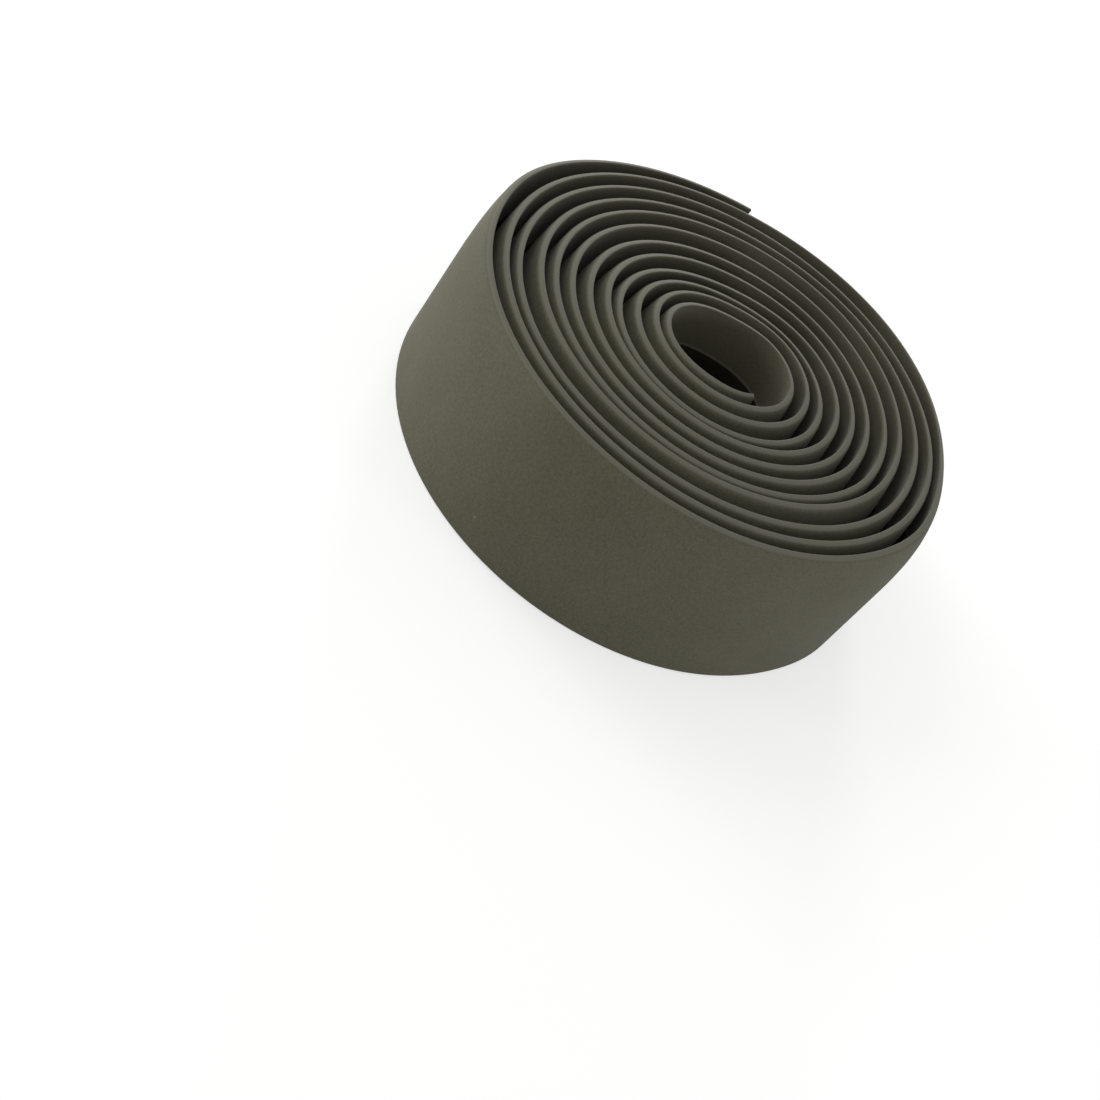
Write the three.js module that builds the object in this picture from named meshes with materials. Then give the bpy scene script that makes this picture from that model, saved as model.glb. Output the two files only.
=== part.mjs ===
// A roll of handlebar tape: one strip of soft padded tape, wound on itself and standing on its edges.
// Millimetres, +Z up. The roll stands on z = 0, and the outer end of the strip lies on the +X side.
import * as THREE from 'three';
import { toCreasedNormals } from 'three/addons/utils/BufferGeometryUtils.js';

// The strip, as it lies flat.
const TAPE_WIDTH = 30;
const PAD_THICKNESS = 2.1; // up to mid-width, from the plain back to the outer face
const EDGE_THICKNESS = 0.95; // the top edge, where the pad has thinned
const EDGE_DROP = 0.3; // how far the top edge slopes down from the back to its shoulder
const TAPER_POWER = 3; // how late above mid-width the pad thins
const SHOULDER = 0.3; // the part of each side that goes into rounding the outer corners
const GRIP_STRIP_WIDTH = 13; // the raised strip along the middle of the back
const GRIP_STRIP_HEIGHT = 0.3;

// How it is wound. Angles are in degrees, counter-clockwise seen from above.
const FULL_TURNS = 11;
const INNER_END_ANGLE = 209;
const OUTER_END_ANGLE = 0;
const HOLE_RADIUS = 8.65; // mean, to the plain back of the innermost turn
const TURN_CLEARANCE = 0.59; // air between neighbouring turns at mid-width
const HOLE_OFFSET = { distance: 2.13, towards: 146 }; // the hole is off the roll's middle
const HOLE_OVAL = { stretch: 0.75, towards: 97 };
const OUTSIDE_OVAL = { stretch: 1.25, towards: 123 };

// Uneven places: how many turns from the inner end, over how many turns, and how far out (or, with
// a minus, how far in). At a bulge the tape stands out over its whole width.
const BULGES = [
  { turn: 10.9, spread: 0.05, shift: 0.7 },
  { turn: 11.4, spread: 0.05, shift: 0.5 },
];

// At a loose edge only the thin top edge has come away from its neighbours.
const LOOSE_EDGES = [
  { turn: 0.15, spread: 0.1, shift: -0.9 },
  { turn: 1.2, spread: 0.2, shift: -1.0 },
  { turn: 2.65, spread: 0.25, shift: -1.7 },
  { turn: 3.1, spread: 0.25, shift: 1.2 },
  { turn: 3.55, spread: 0.2, shift: -2.0 },
  { turn: 4.25, spread: 0.2, shift: -0.5 },
  { turn: 4.6, spread: 0.2, shift: -1.2 },
  { turn: 5.6, spread: 0.25, shift: -1.1 },
  { turn: 7.65, spread: 0.15, shift: 1.1 },
  { turn: 8.05, spread: 0.2, shift: -1.3 },
  { turn: 8.7, spread: 0.1, shift: 0.6 },
  { turn: 9.25, spread: 0.1, shift: 0.8 },
  { turn: 10.7, spread: 0.1, shift: 1.0 },
  { turn: 10.85, spread: 0.1, shift: -1.2 },
  { turn: 11.6, spread: 0.1, shift: -1.0 },
];

// How finely the faces follow the curves.
const STATIONS = 388; // cross-sections along the strip
const TAPER_FACETS = 3; // across the outer face above mid-width
const SHOULDER_FACETS = 2;
const CREASE_ANGLE = 35; // degrees, where shading keeps an edge sharp

const HALF_WIDTH = TAPE_WIDTH / 2;
const TAPER_LENGTH = HALF_WIDTH - EDGE_DROP;
const TURNS = FULL_TURNS + (INNER_END_ANGLE - OUTER_END_ANGLE) / 360;
const PITCH = PAD_THICKNESS + GRIP_STRIP_HEIGHT + TURN_CLEARANCE;
const GROWTH = PITCH * TURNS;

// The outer face's distance from the plain back, x down from mid-width.
function outerFace(x) {
  const towardsTop = Math.max(0, -x / TAPER_LENGTH);
  return PAD_THICKNESS - (PAD_THICKNESS - EDGE_THICKNESS) * towardsTop ** TAPER_POWER;
}

// The strip's cross-section: x across the width, down from mid-width, and y out from the plain back.
function tapeSection() {
  const strip = GRIP_STRIP_WIDTH / 2;
  const stripFoot = strip + GRIP_STRIP_HEIGHT;
  const section = new THREE.Shape();
  section.moveTo(-HALF_WIDTH, 0);
  section.lineTo(-stripFoot, 0);
  section.lineTo(-strip, -GRIP_STRIP_HEIGHT);
  section.lineTo(strip, -GRIP_STRIP_HEIGHT);
  section.lineTo(stripFoot, 0);
  section.lineTo(HALF_WIDTH, 0);
  section.lineTo(HALF_WIDTH, PAD_THICKNESS - SHOULDER);
  section.quadraticCurveTo(HALF_WIDTH, PAD_THICKNESS, HALF_WIDTH - SHOULDER, PAD_THICKNESS);
  for (let i = 0; i < TAPER_FACETS; i++) {
    const x = (-TAPER_LENGTH * i) / TAPER_FACETS;
    section.lineTo(x, outerFace(x));
  }
  const aboveShoulder = new THREE.Vector2(-TAPER_LENGTH, EDGE_THICKNESS).lerp(
    new THREE.Vector2(-HALF_WIDTH, 0),
    SHOULDER / EDGE_THICKNESS,
  );
  section.lineTo(SHOULDER - TAPER_LENGTH, outerFace(SHOULDER - TAPER_LENGTH));
  section.quadraticCurveTo(-TAPER_LENGTH, EDGE_THICKNESS, aboveShoulder.x, aboveShoulder.y);
  section.closePath();
  return section;
}

// How far the uneven places of a list shift the tape after a number of turns.
function unevenShift(places, turns) {
  return places.reduce(
    (total, { turn, spread, shift }) => total + shift * Math.exp(-(((turns - turn) / spread) ** 2)),
    0,
  );
}

// An oval's share of the radius, towards an angle.
function ovalStretch(oval, angle) {
  return oval.stretch * Math.cos(2 * (angle - THREE.MathUtils.degToRad(oval.towards)));
}

// The line that the back of the tape follows, from the inner end (0) to the outer end (1).
// It goes round clockwise seen from above. The hole's offset and oval fade into the outside's
// oval on the way out.
class Winding extends THREE.Curve {
  // Equal steps here turn less on the wide turns, so each chord leaves its arc by the same amount.
  turnsAt(along) {
    const inside = HOLE_RADIUS ** 1.5;
    const outside = (HOLE_RADIUS + GROWTH) ** 1.5;
    const radius = (inside + along * (outside - inside)) ** (2 / 3);
    return (radius - HOLE_RADIUS) / PITCH;
  }

  getPoint(along, target = new THREE.Vector3()) {
    const turns = this.turnsAt(along);
    const wound = turns / TURNS;
    const angle = THREE.MathUtils.degToRad(INNER_END_ANGLE) - turns * 2 * Math.PI;
    const fromHole = angle - THREE.MathUtils.degToRad(HOLE_OFFSET.towards);
    const holeShare = HOLE_OFFSET.distance * Math.cos(fromHole) + ovalStretch(HOLE_OVAL, angle);
    const outsideShare = ovalStretch(OUTSIDE_OVAL, angle);
    const uneven = THREE.MathUtils.lerp(holeShare, outsideShare, wound) + unevenShift(BULGES, turns);
    const radius = HOLE_RADIUS + GROWTH * wound + uneven;
    return target.set(radius * Math.cos(angle), radius * Math.sin(angle), 0);
  }
}

// Winds the straight strip: its length (z, 0 to 1) goes round the path, its width (x) stands up,
// and its thickness (y) goes outwards. The lean grows from mid-width to the top edge as the pad's
// taper does, so turns that clear at mid-width and at the edge clear everywhere between.
function windUp(strip, winding) {
  const position = strip.getAttribute('position');
  const flat = new THREE.Vector3();
  for (let i = 0; i < position.count; i++) {
    flat.fromBufferAttribute(position, i);
    const point = winding.getPoint(flat.z);
    const tangent = winding.getTangent(flat.z);
    const towardsTop = Math.max(0, -flat.x / HALF_WIDTH) ** TAPER_POWER;
    const out = flat.y + unevenShift(LOOSE_EDGES, winding.turnsAt(flat.z)) * towardsTop;
    position.setXYZ(i, point.x - tangent.y * out, point.y + tangent.x * out, HALF_WIDTH - flat.x);
  }
  strip.computeBoundingBox();
  const middle = strip.boundingBox.getCenter(new THREE.Vector3());
  strip.translate(-middle.x, -middle.y, 0);
  return toCreasedNormals(strip, THREE.MathUtils.degToRad(CREASE_ANGLE));
}

const straightStrip = new THREE.ExtrudeGeometry(tapeSection(), {
  depth: 1,
  steps: STATIONS,
  curveSegments: SHOULDER_FACETS,
  bevelEnabled: false,
});

const foamRubber = new THREE.MeshStandardMaterial({ color: 0x5e5d50, roughness: 0.9, metalness: 0 });

const woundTape = new THREE.Mesh(windUp(straightStrip, new Winding()), foamRubber);
woundTape.name = 'wound_tape';

const tapeRoll = new THREE.Group();
tapeRoll.add(woundTape);

export default tapeRoll;
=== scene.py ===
"""A roll of padded handlebar tape, standing on its edges on a pale studio floor.

The strip is modelled straight, as it leaves its mould, and then wound into the roll. Lengths are
metres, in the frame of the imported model: +Z up, the floor at z = 0 and the roll's axis on the origin.
"""

from __future__ import annotations

import logging
import math
from dataclasses import dataclass, field
from enum import Enum
from typing import Any

import bmesh
import bpy
from mathutils import Matrix, Vector


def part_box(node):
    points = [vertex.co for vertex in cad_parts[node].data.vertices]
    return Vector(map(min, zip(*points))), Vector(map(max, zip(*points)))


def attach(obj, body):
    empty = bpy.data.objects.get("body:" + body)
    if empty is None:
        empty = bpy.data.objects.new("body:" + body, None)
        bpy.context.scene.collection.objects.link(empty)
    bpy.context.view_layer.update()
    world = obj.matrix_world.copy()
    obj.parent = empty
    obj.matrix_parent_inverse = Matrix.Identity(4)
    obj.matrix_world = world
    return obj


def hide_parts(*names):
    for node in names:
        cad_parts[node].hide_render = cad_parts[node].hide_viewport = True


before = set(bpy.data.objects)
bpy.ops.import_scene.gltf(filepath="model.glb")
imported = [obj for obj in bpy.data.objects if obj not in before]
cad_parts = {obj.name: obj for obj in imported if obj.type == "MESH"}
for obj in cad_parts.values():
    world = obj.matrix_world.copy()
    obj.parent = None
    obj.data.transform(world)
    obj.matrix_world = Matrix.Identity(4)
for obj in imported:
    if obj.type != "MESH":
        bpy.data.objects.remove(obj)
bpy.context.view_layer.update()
TAPE_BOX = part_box("wound_tape")

MM = 0.001
PHOTO_PIXELS = 1100
PHOTO_FOCAL_PIXELS = 1741
SENSOR_WIDTH = 36.0  # of the camera, in its own millimetres

Colour = tuple[float, float, float, float]
WHITE: Colour = (1.0, 1.0, 1.0, 1.0)

log = logging.getLogger("tape_roll")


class Face(Enum):
    """The faces of the tape that have a finish of their own, as material slots of the piece."""

    OUTSIDE = 0
    BACK = 1
    GRIP_STRIP = 2


class Value:
    """A node socket that takes part in arithmetic, so that shader maths reads as an expression."""

    def __init__(self, tree: bpy.types.NodeTree, socket: bpy.types.NodeSocket) -> None:
        """Wraps an output socket of a node in the tree."""
        self.tree = tree
        self.socket = socket

    def _math(self, operation: str, first: Value | float, second: Value | float) -> Value:
        """Adds one Math node.

        Args:
            operation: The Math node's operation.
            first: The value or link of its first input.
            second: The value or link of its second input.

        Returns:
            The node's result.
        """
        node = self.tree.nodes.new("ShaderNodeMath")
        node.operation = operation
        for socket, value in zip(node.inputs, (first, second)):
            if isinstance(value, Value):
                self.tree.links.new(value.socket, socket)
            else:
                socket.default_value = value
        return Value(self.tree, node.outputs[0])

    def __add__(self, other: Value | float) -> Value:
        """self + other."""
        return self._math("ADD", self, other)

    __radd__ = __add__

    def __sub__(self, other: Value | float) -> Value:
        """self - other."""
        return self._math("SUBTRACT", self, other)

    def __rsub__(self, other: float) -> Value:
        """other - self."""
        return self._math("SUBTRACT", other, self)

    def __mul__(self, other: Value | float) -> Value:
        """self * other."""
        return self._math("MULTIPLY", self, other)

    __rmul__ = __mul__

    def __abs__(self) -> Value:
        """The value without its sign."""
        return self._math("ABSOLUTE", self, 0.0)

    def over(self, limit: float, reach: float) -> Value:
        """Rises from 0 at limit to 1 at limit + reach, and stays within them."""
        rising = (self - limit) * (1 / reach)
        return self._math("MINIMUM", self._math("MAXIMUM", rising, 0.0), 1.0)


class Shading:
    """The node tree of one material, made node by node."""

    def __init__(self, name: str) -> None:
        """Starts an empty material of that name."""
        self.material = bpy.data.materials.new(name)
        self.material.use_nodes = True
        self.tree = self.material.node_tree
        self.tree.nodes.clear()

    def node(self, kind: str, settings: dict[str, Any] | None = None, **inputs: Any) -> bpy.types.Node:
        """Adds a node, sets it up and fills its sockets.

        Args:
            kind: The node's type, without the leading ShaderNode.
            settings: Properties of the node, such as an operation, which are set first.
            inputs: Numbers, colours or Values by socket name, with _ for a space.

        Returns:
            The new node.
        """
        made = self.tree.nodes.new("ShaderNode" + kind)
        for name, value in (settings or {}).items():
            setattr(made, name, value)
        for name, value in inputs.items():
            wanted = name.replace("_", " ")
            socket = next(s for s in made.inputs if s.name == wanted and s.enabled)
            if isinstance(value, Value):
                self.tree.links.new(value.socket, socket)
            else:
                socket.default_value = value
        return made

    def output(self, node: bpy.types.Node, name: str) -> Value:
        """The named output of a node, ready for arithmetic."""
        return Value(self.tree, next(s for s in node.outputs if s.name == name and s.enabled))

    def noise(self, size: float, detail: float = 2.0, roughness: float = 0.5) -> Value:
        """Noise in the object's own space.

        Args:
            size: Width of one blotch or grain, in metres.
            detail: How many finer layers are added.
            roughness: How strong the finer layers are.

        Returns:
            The noise, about 0 on average.
        """
        place = self.output(self.node("TexCoord"), "Object")
        made = self.node("TexNoise", Vector=place, Scale=1 / size, Detail=detail, Roughness=roughness)
        return self.output(made, "Fac") - 0.5

    def mix(self, share: Value, low: Value | Colour, high: Value | Colour) -> Value:
        """Mixes two colours by a share from 0 (low) to 1 (high)."""
        made = self.node("Mix", {"data_type": "RGBA"}, Factor=share, A=low, B=high)
        return self.output(made, "Result")

    def finish(self, surface: bpy.types.Node) -> bpy.types.Material:
        """Puts the surface shader on the material's output and returns the material."""
        output = self.node("OutputMaterial")
        self.tree.links.new(surface.outputs[0], output.inputs["Surface"])
        return self.material


@dataclass(frozen=True)
class FoamRubber:
    """The tape's matt foam rubber: fine closed-cell grain, faint clouding and a few light specks.

    At its top and bottom edges, down to the rub's depth, the foam is rubbed pale: partly edge wear,
    partly a painted highlight where the top edges catch the light.
    """

    name: str = "foam_rubber"
    colour: Colour = (0.114, 0.107, 0.065, 1.0)
    pale: Colour = (0.158, 0.150, 0.099, 1.0)
    # Pale edge colour: partly edge wear, partly a painted highlight on the lit top edges.
    rubbed_and_highlight: Colour = (0.198, 0.189, 0.142, 1.0)
    rub_and_highlight_depth: float = 0.38 * MM
    rub_and_highlight_fade: float = 0.16 * MM
    speck: Colour = (0.42, 0.42, 0.36, 1.0)
    speck_spacing: float = 7 * MM
    speck_radius: float = 0.084 * MM
    grain_size: float = 0.4 * MM
    grain_strength: float = 2.7
    cloud_size: float = 9 * MM
    cloud_strength: float = 0.8
    bump_height: float = 0.02 * MM
    bump_strength: float = 0.35
    roughness: float = 0.86
    roughness_swing: float = 0.12
    sheen: float = 0.12
    sheen_roughness: float = 0.5

    def material(self) -> bpy.types.Material:
        """Builds the material.

        Returns:
            The finished material.
        """
        shading = Shading(self.name)
        grain = shading.noise(self.grain_size, detail=3.0, roughness=0.6)
        clouds = shading.noise(self.cloud_size, detail=3.0)
        share = clouds * self.cloud_strength + grain * self.grain_strength + 0.5
        body = shading.mix(share.over(0.0, 1.0), self.colour, self.pale)
        place = shading.output(shading.node("TexCoord"), "Object")
        cells = shading.node("TexVoronoi", Vector=place, Scale=1 / self.speck_spacing)
        radius = self.speck_radius / self.speck_spacing
        speck = 1 - shading.output(cells, "Distance").over(radius, radius)
        height = shading.output(shading.node("SeparateXYZ", Vector=place), "Z")
        half_width = (TAPE_BOX[1].z - TAPE_BOX[0].z) / 2
        # Mask of the pale edge band: partly edge wear, partly a painted highlight on the lit top edges.
        rub_and_highlight = abs(height - half_width).over(half_width - self.rub_and_highlight_depth, self.rub_and_highlight_fade)
        body = shading.mix(rub_and_highlight, body, self.rubbed_and_highlight)
        colour = shading.mix(speck, body, self.speck)
        bump = shading.node(
            "Bump", Strength=self.bump_strength, Distance=self.bump_height, Height=grain
        )
        surface = shading.node(
            "BsdfPrincipled",
            Base_Color=colour,
            Roughness=grain * self.roughness_swing + self.roughness,
            Normal=shading.output(bump, "Normal"),
            Sheen_Weight=self.sheen,
            Sheen_Roughness=self.sheen_roughness,
        )
        return shading.finish(surface)


@dataclass(frozen=True)
class SmoothGrip:
    """The smooth strip along the middle of the tape's back, near-black: painted shade, the dark of the
    hole that its gloss mirrors.
    """

    # Near-black is painted shade: the glossy strip mirrors the dark inside the hole.
    colour: Colour = (0.022, 0.016, 0.009, 1.0)
    worn: Colour = (0.034, 0.026, 0.016, 1.0)
    cloud_size: float = 4 * MM
    wear_start: float = -0.15
    wear_reach: float = 0.3
    roughness: float = 0.5
    roughness_swing: float = 0.15

    def material(self) -> bpy.types.Material:
        """Builds the material.

        Returns:
            The finished material.
        """
        shading = Shading("smooth_grip")
        clouds = shading.noise(self.cloud_size, detail=3.0)
        surface = shading.node(
            "BsdfPrincipled",
            Base_Color=shading.mix(
                clouds.over(self.wear_start, self.wear_reach), self.colour, self.worn
            ),
            Roughness=clouds * self.roughness_swing + self.roughness,
        )
        return shading.finish(surface)


@dataclass(frozen=True)
class PaleFloor:
    """A white sweep that glows a little to the camera alone, and still takes the roll's shadow."""

    colour: Colour = (0.86, 0.86, 0.85, 1.0)
    glow: float = 0.57

    def material(self) -> bpy.types.Material:
        """Builds the material.

        Returns:
            The finished material.
        """
        shading = Shading("pale_floor")
        rays = shading.output(shading.node("LightPath"), "Is Camera Ray")
        lit = shading.node("BsdfDiffuse", Color=self.colour)
        glow = shading.node("Emission", Color=WHITE, Strength=rays * self.glow)
        both = shading.node("AddShader")
        for shader, socket in zip((lit, glow), both.inputs):
            shading.tree.links.new(shader.outputs[0], socket)
        return shading.finish(both)


@dataclass(frozen=True)
class Oval:
    """How far a round outline is drawn out towards one direction, in degrees, and in across it."""

    stretch: float
    towards: float

    def share(self, angle: float) -> float:
        """The change of radius at an angle, in radians, in metres."""
        return self.stretch * math.cos(2 * (angle - math.radians(self.towards)))


@dataclass(frozen=True)
class Uneven:
    """An uneven place of the winding: where it is and over how much, in turns, and its shift in mm."""

    turn: float
    spread: float
    shift: float

    def at(self, turns: float) -> float:
        """The shift outwards, in metres, after a number of turns."""
        return self.shift * MM * math.exp(-(((turns - self.turn) / self.spread) ** 2))


@dataclass(frozen=True)
class Lean:
    """A lean of every turn's top edge outwards, towards one side of the roll, in degrees."""

    shift: float
    towards: float
    reach: float

    def at(self, angle: float) -> float:
        """The shift outwards, in metres, at an angle in degrees."""
        off = (angle - self.towards + 180) % 360 - 180
        return self.shift * math.exp(-((off / self.reach) ** 2))


@dataclass(frozen=True)
class Station:
    """One cross-section of the wound tape: where its back is, the way out, and its own shape."""

    back: Vector
    outwards: Vector
    edge_shift: float
    thickness_share: float


@dataclass
class Winding:
    """The line that the back of the tape follows, from its inner end to its outer end.

    Angles are in degrees, counter-clockwise seen from above. The hole's offset and oval fade into
    the outside's oval on the way out, and the tape thins towards its inner tip.
    """

    pitch: float
    full_turns: int = 11
    inner_end_angle: float = 209.0
    outer_end_angle: float = 0.0
    hole_radius: float = 8.65 * MM
    hole_offset: float = 2.13 * MM
    hole_towards: float = 146.0
    hole_oval: Oval = Oval(0.75 * MM, 97.0)
    outside_oval: Oval = Oval(1.25 * MM, 123.0)
    bulges: tuple[Uneven, ...] = (Uneven(10.9, 0.05, 0.7), Uneven(11.4, 0.05, 0.5))
    loose_edges: tuple[Uneven, ...] = (
        Uneven(0.15, 0.1, -0.9),
        Uneven(1.2, 0.2, -1.0),
        Uneven(2.65, 0.25, -1.7),
        Uneven(3.1, 0.25, 1.2),
        Uneven(3.55, 0.2, -2.0),
        Uneven(4.25, 0.2, -0.5),
        Uneven(4.6, 0.2, -1.2),
        Uneven(5.6, 0.25, -1.1),
        Uneven(7.65, 0.15, 1.1),
        Uneven(8.05, 0.2, -1.3),
        Uneven(8.7, 0.1, 0.6),
        Uneven(9.25, 0.1, 0.8),
        Uneven(10.7, 0.1, 1.0),
        Uneven(10.85, 0.1, -1.2),
        Uneven(11.6, 0.1, -1.0),
    )
    side_lean: Lean = Lean(0.65 * MM, towards=316.0, reach=33.0)
    tip_thinning: float = 0.4
    tip_turns: float = 0.1
    tangent_step: float = 0.0005

    @property
    def turns(self) -> float:
        """All the turns from end to end."""
        return self.full_turns + (self.inner_end_angle - self.outer_end_angle) / 360

    def turns_at(self, along: float) -> float:
        """Turns wound at a share of the stations, closer together where the turns are tight."""
        inside = self.hole_radius**1.5
        outside = (self.hole_radius + self.pitch * self.turns) ** 1.5
        radius = (inside + along * (outside - inside)) ** (2 / 3)
        return (radius - self.hole_radius) / self.pitch

    def point(self, turns: float) -> Vector:
        """The back of the tape after a number of turns, clockwise seen from above.

        Args:
            turns: Turns from the inner end.

        Returns:
            The point, at z = 0.
        """
        wound = turns / self.turns
        angle = math.radians(self.inner_end_angle - 360 * turns)
        hole = self.hole_offset * math.cos(angle - math.radians(self.hole_towards))
        hole += self.hole_oval.share(angle)
        uneven = hole * (1 - wound) + self.outside_oval.share(angle) * wound
        uneven += sum(bulge.at(turns) for bulge in self.bulges)
        radius = self.hole_radius + self.pitch * turns + uneven
        return Vector((radius * math.cos(angle), radius * math.sin(angle), 0.0))

    def station(self, along: float) -> Station:
        """The cross-section's place at a share of the stations.

        Args:
            along: 0 at the inner end and 1 at the outer end.

        Returns:
            The station there.
        """
        turns = self.turns_at(along)
        step = self.tangent_step
        travel = (self.point(turns + step) - self.point(turns - step)).normalized()
        lean = self.side_lean.at(self.inner_end_angle - 360 * turns)
        return Station(
            back=self.point(turns),
            outwards=Vector((-travel.y, travel.x, 0.0)),
            edge_shift=lean + sum(edge.at(turns) for edge in self.loose_edges),
            thickness_share=1 - self.tip_thinning * math.exp(-((turns / self.tip_turns) ** 2)),
        )


@dataclass(frozen=True)
class Rounding:
    """A rounded corner of the section: how far from the corner it starts, and in how many facets."""

    start: float
    segments: int


@dataclass
class WoundTape:
    """The strip of tape: its section, its length in stations and its winding."""

    foam: FoamRubber = FoamRubber()
    # The back's foam is a darker copy of the foam: painted shade for the gaps between the turns, with
    # no pale edge.
    foam_back_painted_shade: FoamRubber = FoamRubber(
        name="foam_back_painted_shade",
        colour=(0.106, 0.096, 0.060, 1.0),
        pale=(0.133, 0.122, 0.082, 1.0),
        rub_and_highlight_depth=0.0,
    )
    grip: SmoothGrip = SmoothGrip()
    pad_thickness: float = 2.1 * MM
    edge_thickness: float = 1.1 * MM
    edge_drop: float = 0.2 * MM
    taper_power: float = 3.0
    shoulder: Rounding = Rounding(0.55 * MM, 6)
    back_corner: Rounding = Rounding(0.2 * MM, 5)
    grip_width: float = 13 * MM
    grip_height: float = 0.3 * MM
    grip_corner: Rounding = Rounding(0.1 * MM, 2)
    turn_clearance: float = 0.59 * MM
    stations: int = 1300
    taper_cuts: int = 12
    width: float = field(init=False)
    winding: Winding = field(init=False)

    def __post_init__(self) -> None:
        """Takes the tape's width from the frame and winds at the pitch of its thickness."""
        self.width = TAPE_BOX[1].z - TAPE_BOX[0].z
        self.winding = Winding(self.pad_thickness + self.grip_height + self.turn_clearance)

    def build(self) -> bpy.types.Object:
        """Models the straight strip, winds it and dresses it.

        Returns:
            The finished piece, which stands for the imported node.
        """
        solid = bmesh.new()
        section = self._section(solid)
        self._draw_out(solid, section)
        self._mark_faces(solid)
        self._wind(solid)
        mesh = bpy.data.meshes.new("tape_strip")
        solid.to_mesh(mesh)
        solid.free()
        finishes = {Face.OUTSIDE: self.foam, Face.BACK: self.foam_back_painted_shade, Face.GRIP_STRIP: self.grip}
        for kind in Face:
            mesh.materials.append(finishes[kind].material())
        piece = bpy.data.objects.new("tape_strip", mesh)
        bpy.context.scene.collection.objects.link(piece)
        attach(piece, "root")
        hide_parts("wound_tape")
        return piece

    def _section(self, solid: bmesh.types.BMesh) -> bmesh.types.BMFace:
        """Makes the cross-section: x across the width, y out from the plain back.

        Args:
            solid: The mesh that the section is made in.

        Returns:
            The section's face.
        """
        half = self.width / 2
        strip = self.grip_width / 2
        foot = strip + self.grip_height
        back = [(-half, 0), (-foot, 0), (-strip, -self.grip_height)]
        back += [(-x, y) for x, y in reversed(back)]
        thinning = self.pad_thickness - self.edge_thickness
        outer = [(half, self.pad_thickness)]
        for rise in (i / self.taper_cuts for i in range(self.taper_cuts + 1)):
            thinned = thinning * rise**self.taper_power
            outer.append(((self.edge_drop - half) * rise, self.pad_thickness - thinned))
        back_verts = [solid.verts.new((x, y, 0.0)) for x, y in back]
        outer_verts = [solid.verts.new((x, y, 0.0)) for x, y in outer]
        solid.faces.new(back_verts + outer_verts)
        for corners, rounding in (
            ([outer_verts[0], outer_verts[-1]], self.shoulder),
            ([back_verts[0], back_verts[-1]], self.back_corner),
            (back_verts[1:-1], self.grip_corner),
        ):
            bmesh.ops.bevel(
                solid,
                geom=corners,
                offset=rounding.start,
                offset_type="OFFSET",
                segments=rounding.segments,
                profile=0.5,
                affect="VERTICES",
                material=-1,
            )
        return solid.faces[:][0]

    def _draw_out(self, solid: bmesh.types.BMesh, section: bmesh.types.BMFace) -> None:
        """Draws the section out along z, from 0 to 1, and cuts it into stations.

        Args:
            solid: The mesh that holds the section.
            section: The section's face.
        """
        drawn = bmesh.ops.extrude_face_region(solid, geom=[section])
        far_end = [v for v in drawn["geom"] if isinstance(v, bmesh.types.BMVert)]
        bmesh.ops.translate(solid, verts=far_end, vec=(0.0, 0.0, 1.0))
        lengthwise = [e for e in solid.edges if e.verts[0].co.z != e.verts[1].co.z]
        bmesh.ops.subdivide_edges(
            solid, edges=lengthwise, cuts=self.stations - 1, use_grid_fill=True
        )

    def _mark_faces(self, solid: bmesh.types.BMesh) -> None:
        """Gives the back and the strip along it their own slots, and keeps the cut ends crisp.

        The back's slot, with its painted shade, goes a little way round its corners.

        Args:
            solid: The straight strip.
        """
        grip_limit = -0.9 * self.grip_height
        back_limit = 0.6 * self.back_corner.start
        for face in solid.faces:
            face.smooth = abs(face.normal.z) < 0.5
            depth = face.calc_center_median().y
            if not face.smooth:
                for edge in face.edges:
                    edge.smooth = False
            elif depth < grip_limit:
                face.material_index = Face.GRIP_STRIP.value
            elif depth < back_limit:
                face.material_index = Face.BACK.value

    def _wind(self, solid: bmesh.types.BMesh) -> None:
        """Winds the straight strip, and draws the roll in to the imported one's outline.

        The top edge leans by its loose places, more and more from mid-width up. The fine stations
        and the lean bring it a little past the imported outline, which the drawing in makes good.

        Args:
            solid: The straight strip.
        """
        places: dict[int, Station] = {}
        half = self.width / 2
        for vert in solid.verts:
            number = round(vert.co.z * self.stations)
            if number not in places:
                places[number] = self.winding.station(number / self.stations)
            place = places[number]
            towards_top = max(0.0, -vert.co.x / half) ** self.taper_power
            out = vert.co.y * place.thickness_share + place.edge_shift * towards_top
            height = Vector((0.0, 0.0, half - vert.co.x))
            vert.co = place.back + place.outwards * out + height
        low = Vector(map(min, *(v.co for v in solid.verts)))
        high = Vector(map(max, *(v.co for v in solid.verts)))
        packed = TAPE_BOX[1] - TAPE_BOX[0]
        drawn_in = min(packed.x / (high.x - low.x), packed.y / (high.y - low.y))
        middle = (low + high) / 2
        packed_middle = (TAPE_BOX[0] + TAPE_BOX[1]) / 2
        for vert in solid.verts:
            vert.co.x = packed_middle.x + (vert.co.x - middle.x) * drawn_in
            vert.co.y = packed_middle.y + (vert.co.y - middle.y) * drawn_in
        bmesh.ops.recalc_face_normals(solid, faces=solid.faces)


@dataclass(frozen=True)
class SoftBox:
    """A square studio lamp that faces the middle of the roll's foot. Angles are in degrees."""

    name: str
    azimuth: float
    elevation: float
    power: float
    side: float = 0.2
    distance: float = 0.9

    def build(self) -> bpy.types.Object:
        """Hangs the lamp.

        Returns:
            The lamp's object.
        """
        data = bpy.data.lights.new(self.name, "AREA")
        data.shape = "SQUARE"
        data.size = self.side
        data.energy = self.power
        lamp = bpy.data.objects.new(self.name, data)
        turn, rise = math.radians(self.azimuth), math.radians(self.elevation)
        level = math.cos(rise)
        towards = Vector((math.cos(turn) * level, math.sin(turn) * level, math.sin(rise)))
        lamp.location = towards * self.distance
        lamp.rotation_euler = towards.to_track_quat("Z", "Y").to_euler()
        bpy.context.scene.collection.objects.link(lamp)
        return lamp


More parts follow.
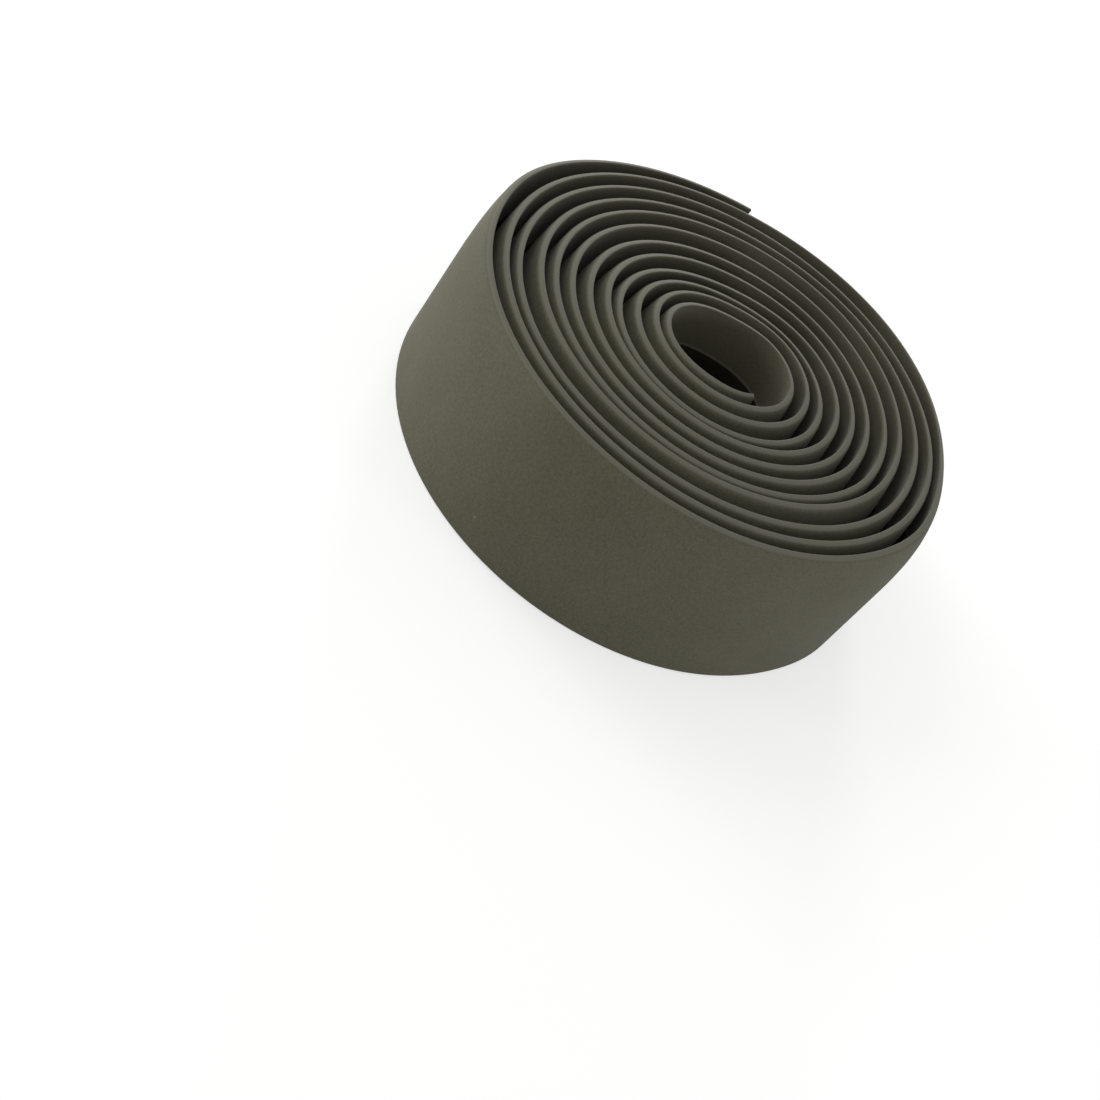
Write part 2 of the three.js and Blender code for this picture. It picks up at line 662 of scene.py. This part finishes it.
@dataclass
class Studio:
    """The floor, the lamps, the surrounding light and the camera."""

    floor: PaleFloor = PaleFloor()
    floor_side: float = 8.0
    surround: float = 0.38
    lamps: tuple[SoftBox, ...] = (
        SoftBox("back_lamp", azimuth=0, elevation=6, power=4.1),
        SoftBox("left_lamp", azimuth=60, elevation=6, power=1.8),
        SoftBox("side_lamp", azimuth=105, elevation=6, power=1.25),
        SoftBox("front_lamp", azimuth=250, elevation=6, power=1.35),
        SoftBox("high_lamp", azimuth=60, elevation=40, power=1.05, side=0.5),
    )
    camera_place: Vector = field(default_factory=lambda: Vector((-227.08, 77.08, 176.94)) * MM)
    camera_aim: Vector = field(default_factory=lambda: Vector((-46.47, 16.89, 15.0)) * MM)
    camera_roll: float = 39.67

    def build(self) -> None:
        """Sets up everything round the roll."""
        self._lay_floor()
        for lamp in self.lamps:
            lamp.build()
        self._light_surround()
        self._place_camera()

    def _lay_floor(self) -> None:
        """Lays the floor that the roll stands on."""
        slab = bmesh.new()
        bmesh.ops.create_grid(slab, x_segments=1, y_segments=1, size=self.floor_side / 2)
        mesh = bpy.data.meshes.new("floor")
        slab.to_mesh(mesh)
        slab.free()
        mesh.materials.append(self.floor.material())
        floor = bpy.data.objects.new("floor", mesh)
        bpy.context.scene.collection.objects.link(floor)

    def _light_surround(self) -> None:
        """Gives the world an even pale light."""
        world = bpy.data.worlds.new("studio")
        world.use_nodes = True
        background = world.node_tree.nodes["Background"]
        background.inputs["Color"].default_value = WHITE
        background.inputs["Strength"].default_value = self.surround
        bpy.context.scene.world = world

    def _place_camera(self) -> None:
        """Puts the camera where the photograph was taken from, turned about its own axis alike."""
        data = bpy.data.cameras.new("camera")
        data.sensor_width = SENSOR_WIDTH
        data.lens = SENSOR_WIDTH * PHOTO_FOCAL_PIXELS / PHOTO_PIXELS
        data.clip_start = 5 * MM
        camera = bpy.data.objects.new("camera", data)
        looking = (self.camera_aim - self.camera_place).normalized()
        level = looking.to_track_quat("-Z", "Y").to_matrix()
        turned = level @ Matrix.Rotation(math.radians(self.camera_roll), 3, "Z")
        camera.matrix_world = Matrix.Translation(self.camera_place) @ turned.to_4x4()
        bpy.context.scene.collection.objects.link(camera)
        bpy.context.scene.camera = camera


def main() -> None:
    """Builds the roll and the studio."""
    logging.basicConfig(level=logging.INFO, format="%(name)s: %(message)s")
    tape = WoundTape().build()
    log.info("%s: %d faces", tape.name, len(tape.data.polygons))
    Studio().build()
    bpy.context.scene.view_settings.view_transform = "Standard"


if __name__ == "__main__":
    main()
